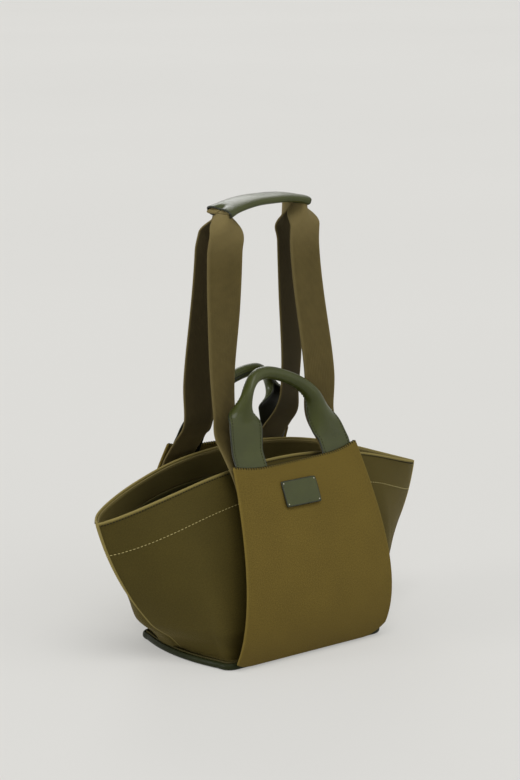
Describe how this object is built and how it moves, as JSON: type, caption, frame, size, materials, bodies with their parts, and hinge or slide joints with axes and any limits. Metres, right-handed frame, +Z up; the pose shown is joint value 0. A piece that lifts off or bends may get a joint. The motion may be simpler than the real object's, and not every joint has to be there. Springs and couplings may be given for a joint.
{
  "type": "shopper bag",
  "caption": "Soft winged shopper bag with an open mouth, outer slip pockets, rolled leather handles and a padded webbing shoulder strap.",
  "frame": {"origin": "middle of the flat underside of the base", "axes": "+X along the length towards the right wing tip, front towards -Y, +Z up"},
  "size_m": [0.4514, 0.212, 0.497],
  "materials": {
    "shell": "satin woven",
    "panel": "matt brushed",
    "lining": "matt woven",
    "leather": "smooth satin",
    "webbing": "ribbed",
    "board": "matt",
    "metal": "satin"
  },
  "bodies": {
    "bag": {"front_body": "shell", "back_body": "shell", "front_hem": "shell", "back_hem": "shell", "front_panel": "panel", "back_panel": "panel", "front_right_pocket_gusset": "panel", "front_left_pocket_gusset": "panel", "back_left_pocket_gusset": "panel", "back_right_pocket_gusset": "panel", "front_lining": "lining", "back_lining": "lining", "floor_lining": "lining", "inner_pocket_bag": "lining", "base_pan": "leather", "label_plate": "leather", "front_right_handle_tab": "leather", "front_left_handle_tab": "leather", "back_left_handle_tab": "leather", "back_right_handle_tab": "leather", "zip_tape": "webbing", "front_right_strap_tail": "webbing", "front_left_strap_tail": "webbing", "back_left_strap_tail": "webbing", "back_right_strap_tail": "webbing", "base_board": "board", "snap_socket": "metal", "snap_stud": "metal", "zip_chain": "metal"},
    "front_handle": {"front_handle": "leather", "front_handle_core": "webbing"},
    "back_handle": {"back_handle": "leather", "back_handle_core": "webbing"},
    "left_strap": {"front_left_strap_leg": "webbing", "back_left_strap_leg": "webbing"},
    "right_strap": {"front_right_strap_leg": "webbing", "back_right_strap_leg": "webbing"},
    "pad": {"shoulder_pad": "leather", "front_strap_top": "webbing", "back_strap_top": "webbing"},
    "zip_slider": {"zip_slider": "metal"},
    "zip_pull": {"zip_pull": "metal"}
  },
  "joints": [
    {"name": "front_handle_swing", "type": "hinge", "parent": "bag", "child": "front_handle", "pos_m": [0, -0.05111, 0.2275], "axis": [1, 0, 0], "range_deg": [0, 135]},
    {"name": "back_handle_swing", "type": "hinge", "parent": "bag", "child": "back_handle", "pos_m": [0, 0.05111, 0.2275], "axis": [-1, 0, 0], "range_deg": [0, 135]},
    {"name": "strap_sway", "type": "hinge", "parent": "bag", "child": "left_strap", "pos_m": [-0.058, 0, 0.238], "axis": [0, 1, 0], "range_deg": [-45, 45]},
    {"name": "right_strap_sway", "type": "hinge", "parent": "bag", "child": "right_strap", "pos_m": [0.058, 0, 0.238], "axis": [0, 1, 0], "range_deg": [-45, 45]},
    {"name": "pad_level", "type": "hinge", "parent": "left_strap", "child": "pad", "pos_m": [-0.058, 0, 0.47212], "axis": [0, 1, 0], "range_deg": [-45, 45]},
    {"name": "zip_slide", "type": "slide", "parent": "bag", "child": "zip_slider", "axis": [-1, 0, 0], "range_m": [0, 0.105]},
    {"name": "zip_pull_turn", "type": "hinge", "parent": "zip_slider", "child": "zip_pull", "pos_m": [0.0545, 0.04655, 0.153], "axis": [0, 0.3623, -0.9321], "range_deg": [0, 165]}
  ],
  "couplings": [
    {"joint": "right_strap_sway", "follows": "strap_sway", "ratio": 1},
    {"joint": "pad_level", "follows": "strap_sway", "ratio": -1}
  ]
}
